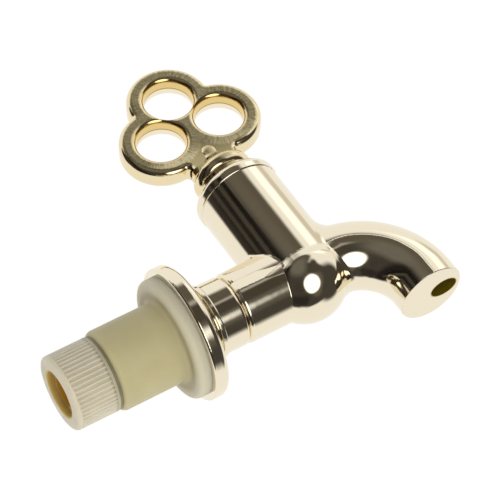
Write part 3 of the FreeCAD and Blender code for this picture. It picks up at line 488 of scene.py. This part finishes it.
# %% [markdown]
# ## Tones, painted light and painted shade of the seal and the nut
# The seal's flange is thinner than its sleeve, so it looks paler and greyer. Its outer rim is
# painted darker, as painted shade, and the bend between flange and sleeve is painted a little
# brown, as painted shade. The nut's hole is painted yellow, a painted reflection of the plating
# inside it. Its grooves are painted lighter than its ribs, as painted light against the shade
# between the ribs, and its rear end beside the sleeve is painted darker, as painted shade. Most of
# these follow the distance from the shank's axis and some the place along it. They could be painted
# by hand on an unwrapped mesh, but a band between two distances stays sharp at any size and can be
# measured on the real one, so bands of colour are laid over the mottle.

# %% Bands of colour, painted light and painted shade
# how it is measured, start, end and soft edge in millimetres, colour, strength
SEAL_TONES_AND_PAINTED_SHADE = (
    ("round", 9.8, 20.0, 1.6, "#cbc4ae", 0.8),
    # painted shade: the flange's outer rim painted darker
    ("round", 13.9, 20.0, 0.3, "#b1a684", 0.8),
    # painted shade: the bend between flange and sleeve painted a little brown
    ("round", 8.9, 11.6, 1.1, "#85744c", 0.4),
)
NUT_PAINTED_LIGHT_AND_SHADE = (
    # painted light: the grooves painted lighter, against the shade between the ribs
    ("round", 8.1, 8.75, 0.3, "#ddd5c4", 0.8),
    # painted shade: the nut's rear end beside the sleeve painted darker
    ("along", -14.6, -12.0, 0.5, "#b3a988", 0.7),
    # painted reflection: the nut's hole painted yellow by the plating inside it
    ("round", -1.0, 5.6, 0.4, "#bd9d45", 0.9),
)


def add_bands(material, bands):
    tree, shader = material.node_tree, material.node_tree.nodes["Principled BSDF"]
    axes = add_node(tree, "SeparateXYZ", in_millimetres(tree)).outputs
    measured = {"round": length_of(tree, axes["Y"], axes["Z"]), "along": axes["X"]}
    colour = shader.inputs["Base Color"].links[0].from_socket
    for way, start, end, soft, tone, strength in bands:
        begun = add_node(tree, "MapRange", measured[way], start, start + soft, 0.0, strength)
        not_ended = add_node(tree, "MapRange", measured[way], end - soft, end, 1.0, 0.0)
        inside = add_node(tree, "MULTIPLY", begun, not_ended)
        colour = add_node(tree, "Mix", inside, colour, linear(tone), data_type="RGBA")
    feed(tree, shader.inputs["Base Color"], colour)


seal_silicone = silicone.copy()
seal_silicone.name = "moulded_silicone_seal"
add_bands(seal_silicone, SEAL_TONES_AND_PAINTED_SHADE)
add_bands(nut_nylon, NUT_PAINTED_LIGHT_AND_SHADE)
print("bands drawn on:", seal_silicone.name, nut_nylon.name)

# %% [markdown]
# ## Dressing the pieces
# Each piece of the model takes the finish of its real material. A piece that was moulded in one
# go has one material, so a table of pieces and finishes is enough. The slots stay those of the
# model's own record, and only the material in each one changes.

# %% Give each piece its finish
FINISHES = {
    "tap_body": body_plating, "flange_collar": plating, "bonnet_cap": plating,
    "key_handle": key_plating, "jar_seal": seal_silicone, "clamp_nut": nut_nylon,
    "slip_washer": washer_nylon_painted_shade, "thrust_washer": washer_nylon_painted_shade, "valve_plug": acetal,
    "stem_bush": acetal, "port_seal_inlet": silicone, "port_seal_outlet": silicone,
    "plug_oring": nitrile, "bush_oring": nitrile, "stem_oring_lower": nitrile,
    "stem_oring_upper": nitrile,
}
for name, piece in nodes.items():
    for number in range(len(piece.data.materials)):
        piece.data.materials[number] = FINISHES[name]
print("every piece is dressed:", sorted(FINISHES) == sorted(nodes))

# %% [markdown]
# ## The camera
# The photographer looked down at a tap lying on its side, with a long lens. Seen from the tap
# itself, which stands with its key up, that is from the front left and a little below. A camera
# placed by eye is soon a few degrees out, and a mirror then shows the wrong side of the room. So
# its three directions were fitted to the round edges of the tap, and they are kept as numbers.

# %% Camera
CAMERA_RIGHT = Vector((0.850906, -0.012395, -0.525172))
CAMERA_UP = Vector((0.410868, -0.607237, 0.680037))
CAMERA_BACK = Vector((-0.327333, -0.794424, -0.511609))
CAMERA_PLACE = Vector((-0.149154, -0.430771, -0.266285))
VALVE = Vector((0.0337, 0, 0))
camera = bpy.data.objects.new("camera", bpy.data.cameras.new("camera"))
bpy.context.scene.collection.objects.link(camera)
bpy.context.scene.camera = camera
camera.data.sensor_width = 36.0
camera.data.lens = 189.06
turn = Matrix((CAMERA_RIGHT, CAMERA_UP, CAMERA_BACK)).transposed().to_4x4()
camera.matrix_world = Matrix.Translation(CAMERA_PLACE) @ turn
print("camera to the valve in mm:", round(1000 * (CAMERA_PLACE - VALVE).length))

# %% [markdown]
# ## The white paper
# A white background in a photograph is paper that is lit as bright as the film can hold, so for
# the camera and for mirrors most of the sheet's white is its own glow, and the rest is plain
# paper that keeps a soft shadow. From behind the sheet is clear, so that it never hides the tap.

# %% Paper
FIBRE_MM = 0.8
GLOW, GLOW_SHARE = 1.05, 0.92


def seen_in_mirrors(tree, rays):
    return add_node(tree, "MAXIMUM", rays["Is Glossy Ray"], rays["Is Transmission Ray"])


def white_paper(name):
    material = bpy.data.materials.new(name)
    material.use_nodes = True
    tree = material.node_tree
    tree.nodes.clear()
    rays = add_node(tree, "LightPath").outputs
    fibre = add_node(tree, "TexNoise", in_millimetres(tree), 1 / FIBRE_MM)
    tone = add_node(tree, "Mix", fibre, linear("#f6f6f4"), linear("#f2f2f0"), data_type="RGBA")
    seen = add_node(tree, "MAXIMUM", rays["Is Camera Ray"], seen_in_mirrors(tree, rays))
    front = add_node(tree, "MixShader", add_node(tree, "MULTIPLY", seen, GLOW_SHARE),
                     add_node(tree, "BsdfDiffuse", tone), add_node(tree, "Emission", linear("#ffffff"), GLOW))
    behind = add_node(tree, "NewGeometry").outputs["Backfacing"]
    whole = add_node(tree, "MixShader", behind, front, add_node(tree, "BsdfTransparent"))
    add_node(tree, "OutputMaterial", whole)
    return material


paper = white_paper("white_paper")
print("paper nodes:", len(paper.node_tree.nodes))

# %% [markdown]
# ## The table
# The tap lies on its side, so the table is a sheet of the paper behind it, just clear of the rim
# of the flange collar, and not a floor below it. It is not part of the tap. It casts no shadow of
# its own, and the painted room stands in for it in reflections.

# %% Table
TABLE_GAP, TABLE_HALF = 0.0002, 0.4
table_y = model_box[1][1] + TABLE_GAP
middle = [(a + b) / 2 for a, b in zip(*model_box)]
corners = [(middle[0] + x * TABLE_HALF, table_y, middle[2] + z * TABLE_HALF)
           for x, z in ((-1, -1), (1, -1), (1, 1), (-1, 1))]
table_mesh = bpy.data.meshes.new("paper_table")
table_mesh.from_pydata(corners, [], [(0, 1, 2, 3)])
table = bpy.data.objects.new("paper_table", table_mesh)
bpy.context.scene.collection.objects.link(table)
table_mesh.materials.append(paper)
table.visible_shadow = False
table.visible_glossy = False
print("the table faces:", [round(v, 2) for v in table_mesh.polygons[0].normal])

# %% [markdown]
# ## The studio's angles
# What a mirror finish shows is the room, so the room is part of the material. In the photograph
# the tap reflects the white paper all round, the dark room behind the camera, and one tall soft
# light just to the camera's right. The room could be built of cards and lamps, but they would
# also shade the dull pieces and need moving one by one. Here the world is that room. Each place
# in it is given by two angles: how far it lies to the right of the camera's own place, and how
# far above it.

# %% Angles of each place in the room
DEGREES = 57.2958


def direction(right, up):
    right, up = math.radians(right), math.radians(up)
    level = math.cos(right) * CAMERA_BACK + math.sin(right) * CAMERA_RIGHT
    return math.cos(up) * level + math.sin(up) * CAMERA_UP


def reach_along(axis):
    return add_node(room, "VectorMath", ray, tuple(axis), operation="DOT_PRODUCT")


def in_degrees(angle, *values):
    return add_node(room, "MULTIPLY", add_node(room, angle, *values), DEGREES)


world = bpy.data.worlds.new("studio")
bpy.context.scene.world = world
world.use_nodes = True
room = world.node_tree
room.nodes.clear()
ray = add_node(room, "TexCoord").outputs["Generated"]
rightward, upward, backward = [reach_along(axis) for axis in (CAMERA_RIGHT, CAMERA_UP, CAMERA_BACK)]
sideways = in_degrees("ARCTAN2", rightward, backward)
upwards = in_degrees("ARCSINE", upward)
print("straight behind the camera:", [round(v, 2) for v in direction(0, 0)])

# %% [markdown]
# ## The painted room
# The room is painted as white paper with soft-edged patches on it, one over the other. They are
# rounded rectangles, because a square corner shows as a step in a curved mirror. The first two are
# bright panels high on the right, and the rest are the dark things behind the camera. High up,
# where the angles run together, a rectangle would be pinched, so the patch there is a round cap.

# %% Patches of the room
ROOM_WHITE = "#fbfaf8"
HIGH_PATCH = (-24.0, 58.0, 26.0, 10.0, "#5d574d")  # right, up, radius, soft edge, colour
LAMP_SEEN = (21.0, -9.0, 22.0, 25.0, 2.0)  # right, up, half width, half height, strength
LAMP_RIM = (0.95, 0.3)
ROUNDNESS = 0.85
ROOM_PATCHES = (
    # left, right, low, high, soft edge in degrees, colour, strength
    (92.0, 129.0, 53.0, 82.0, 18.0, "#ffffff", 1.3),
    (128.0, 142.0, 40.0, 60.0, 8.0, "#d9d2c6", 1.0),
    (-86.0, 72.0, -74.0, 47.0, 10.0, "#403d39", 1.0),
    (-97.0, -70.0, -16.0, 34.0, 7.0, "#35312e", 1.0),
    (30.0, 104.0, -44.0, 36.0, 16.0, "#45413d", 1.0),
    (-44.0, 6.0, 12.0, 62.0, 24.0, "#6d6963", 1.0),
    (20.0, 44.0, 20.0, 54.0, 12.0, "#474239", 1.0),
    (-84.0, -40.0, -60.0, 40.0, 16.0, "#221e1e", 1.0),
    (-80.0, -74.0, -30.0, 60.0, 3.0, "#423e38", 1.0),
    (-67.0, -61.0, -40.0, 60.0, 3.0, "#45413a", 1.0),
    (-60.0, -54.0, -40.0, 42.0, 3.0, "#1b1716", 1.0),
    (-46.0, 20.0, -70.0, -42.0, 14.0, "#2b2827", 1.0),
    (-24.0, -2.0, -34.0, -6.0, 14.0, "#3f3936", 1.0),
    (26.0, 50.0, -40.0, 20.0, 10.0, "#5f5b53", 1.0),
)
print("patches in the room:", 1 + len(ROOM_PATCHES))

# %% [markdown]
# ## Painting the room
# An image of the room would do too, but it would be a file to carry along, and its patches could
# not be moved one at a time. Here a patch is drawn by a distance that grows across its rim, and a
# smooth step there gives the soft edge of a thing that is out of focus. For a rounded rectangle
# it is the distance past its straight sides, for the cap the angle from its middle, and for the
# soft light the distance from the middle of an ellipse. Each patch covers what is under it.

# %% The room with its patches
def inside_of(value, rim, soft):
    return add_node(room, "MapRange", value, rim - soft / 2, rim + soft / 2, 1.0, 0.0,
                    interpolation_type="SMOOTHSTEP")


def past_straight_side(angle, low, high, corner):
    from_middle = add_node(room, "ABSOLUTE", add_node(room, "SUBTRACT", angle, (low + high) / 2))
    return add_node(room, "MAXIMUM", 0.0, add_node(room, "SUBTRACT", from_middle, (high - low) / 2 - corner))


right, up, radius, soft, colour = HIGH_PATCH
turned_away = in_degrees("ARCCOSINE", reach_along(direction(right, up)))
seen_room = add_node(room, "Mix", inside_of(turned_away, radius, soft), linear(ROOM_WHITE),
                     linear(colour), data_type="RGBA")
for left, right, low, high, soft, colour, strength in ROOM_PATCHES:
    corner = ROUNDNESS * min(right - left, high - low) / 2
    over = length_of(room, past_straight_side(sideways, left, right, corner),
                     past_straight_side(upwards, low, high, corner))
    patch = tuple(strength * c for c in linear(colour)[:3]) + (1.0,)
    seen_room = add_node(room, "Mix", inside_of(over, corner, soft), seen_room, patch, data_type="RGBA")
right, up, half_wide, half_high, strength = LAMP_SEEN
off_centre = length_of(
    room, add_node(room, "DIVIDE", add_node(room, "SUBTRACT", sideways, right), half_wide),
    add_node(room, "DIVIDE", add_node(room, "SUBTRACT", upwards, up), half_high))
seen_room = add_node(room, "Mix", inside_of(off_centre, *LAMP_RIM), seen_room,
                     (strength,) * 3 + (1.0,), data_type="RGBA")
print("world nodes for the patches:", len(room.nodes))

# %% [markdown]
# ## Who sees the room
# Only reflections see the painted room. The camera sees plain white, and dull surfaces get a
# plain pale light. It is stronger from the lower side of the picture than from above, which
# matches the shading of the sleeve and the nut.

# %% What each kind of ray sees
FROM_BELOW, FROM_ABOVE = 1.02, 0.56
rays = add_node(room, "LightPath").outputs
mirror = add_node(room, "Background", seen_room, 1.0)
fill = add_node(room, "Background", linear("#f7f7f7"),
                add_node(room, "MapRange", upward, -1.0, 1.0, FROM_BELOW, FROM_ABOVE))
backdrop = add_node(room, "Background", linear("#ffffff"), 1.0)
lit = add_node(room, "MixShader", seen_in_mirrors(room, rays), fill, mirror)
add_node(room, "OutputWorld", add_node(room, "MixShader", rays["Is Camera Ray"], lit, backdrop))
print("world nodes:", len(room.nodes))

# %% [markdown]
# ## The soft light
# The tall light beside the camera also shapes the dull pieces, so it is a real area lamp as well.
# The world already shows its mirror image, so the lamp itself stays out of reflections. Together
# the lamp and the world light a white card to just about white.

# %% Lamp
AIM = Vector((0.02, 0, 0.02))
LAMP_DISTANCE = 0.6
toward = direction(*LAMP_SEEN[:2])
softbox = bpy.data.lights.new("softbox", "AREA")
softbox.shape = "RECTANGLE"
softbox.size, softbox.size_y = 0.2, 0.6
softbox.energy = 1.1
lamp = bpy.data.objects.new("softbox", softbox)
bpy.context.scene.collection.objects.link(lamp)
lamp.location = AIM + LAMP_DISTANCE * toward
lamp.rotation_mode = "QUATERNION"
lamp.rotation_quaternion = toward.to_track_quat("Z", "Y")
lamp.visible_glossy = False
lamp.visible_camera = False
print("lamp at mm:", [round(1000 * v) for v in lamp.location])

# %% [markdown]
# ## The view
# The colours must come out as they are written, so the view is Standard.

# %% View
bpy.context.scene.view_settings.view_transform = "Standard"
